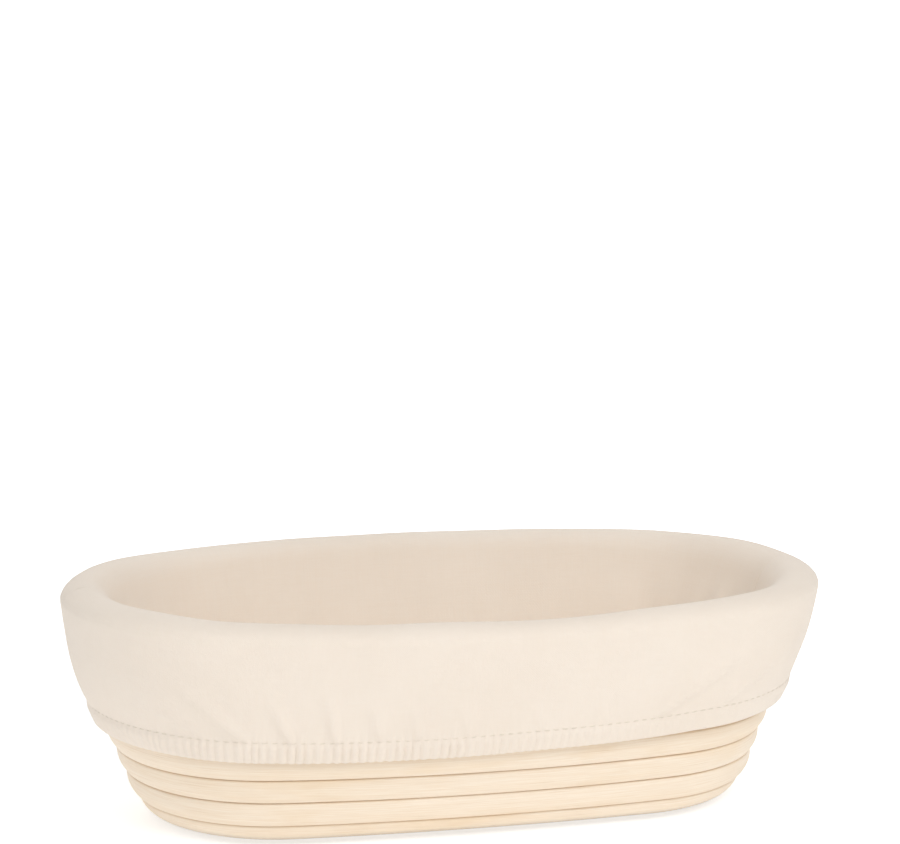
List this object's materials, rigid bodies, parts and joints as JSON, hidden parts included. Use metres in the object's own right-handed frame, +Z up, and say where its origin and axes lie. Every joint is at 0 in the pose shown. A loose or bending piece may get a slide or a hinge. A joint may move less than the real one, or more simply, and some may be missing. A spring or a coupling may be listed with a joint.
{
  "type": "banneton basket",
  "caption": "Oval proving basket coiled from round cane, with a fitted cloth liner whose elastic hem folds down over the outside of the wall.",
  "frame": {"origin": "centre of the flat underside of the base", "axes": "+Z up out of the bowl, +X along the oval's length, -Y towards the side seen in the picture"},
  "size_m": [0.2592, 0.1522, 0.0779],
  "materials": {
    "cane": "satin, peeled natural rattan",
    "cloth": "matt, fine plain weave of cotton and linen",
    "thread": "matt, spun cotton",
    "elastic": "matt, covered elastic tape",
    "brad": "satin"
  },
  "bodies": {
    "basket": {"core_cane": "cane", "base_cane": "cane", "wall_cane_lower": "cane", "wall_cane_middle": "cane", "wall_cane_upper": "cane", "base_brads": "brad", "wall_brads": "brad", "joint_brads": "brad"},
    "liner": {"liner_base_panel": "cloth", "liner_front_panel": "cloth", "liner_back_panel": "cloth", "hem_elastic": "elastic", "hem_thread": "thread", "base_seam_thread": "thread", "left_seam_thread": "thread", "right_seam_thread": "thread"}
  },
  "joints": [
    {"name": "liner_lift", "type": "slide", "parent": "basket", "child": "liner", "axis": [0, 0, 1], "range_m": [0, 0.1], "deforming": ["liner_front_panel", "liner_back_panel", "hem_elastic", "hem_thread", "left_seam_thread", "right_seam_thread"]}
  ]
}
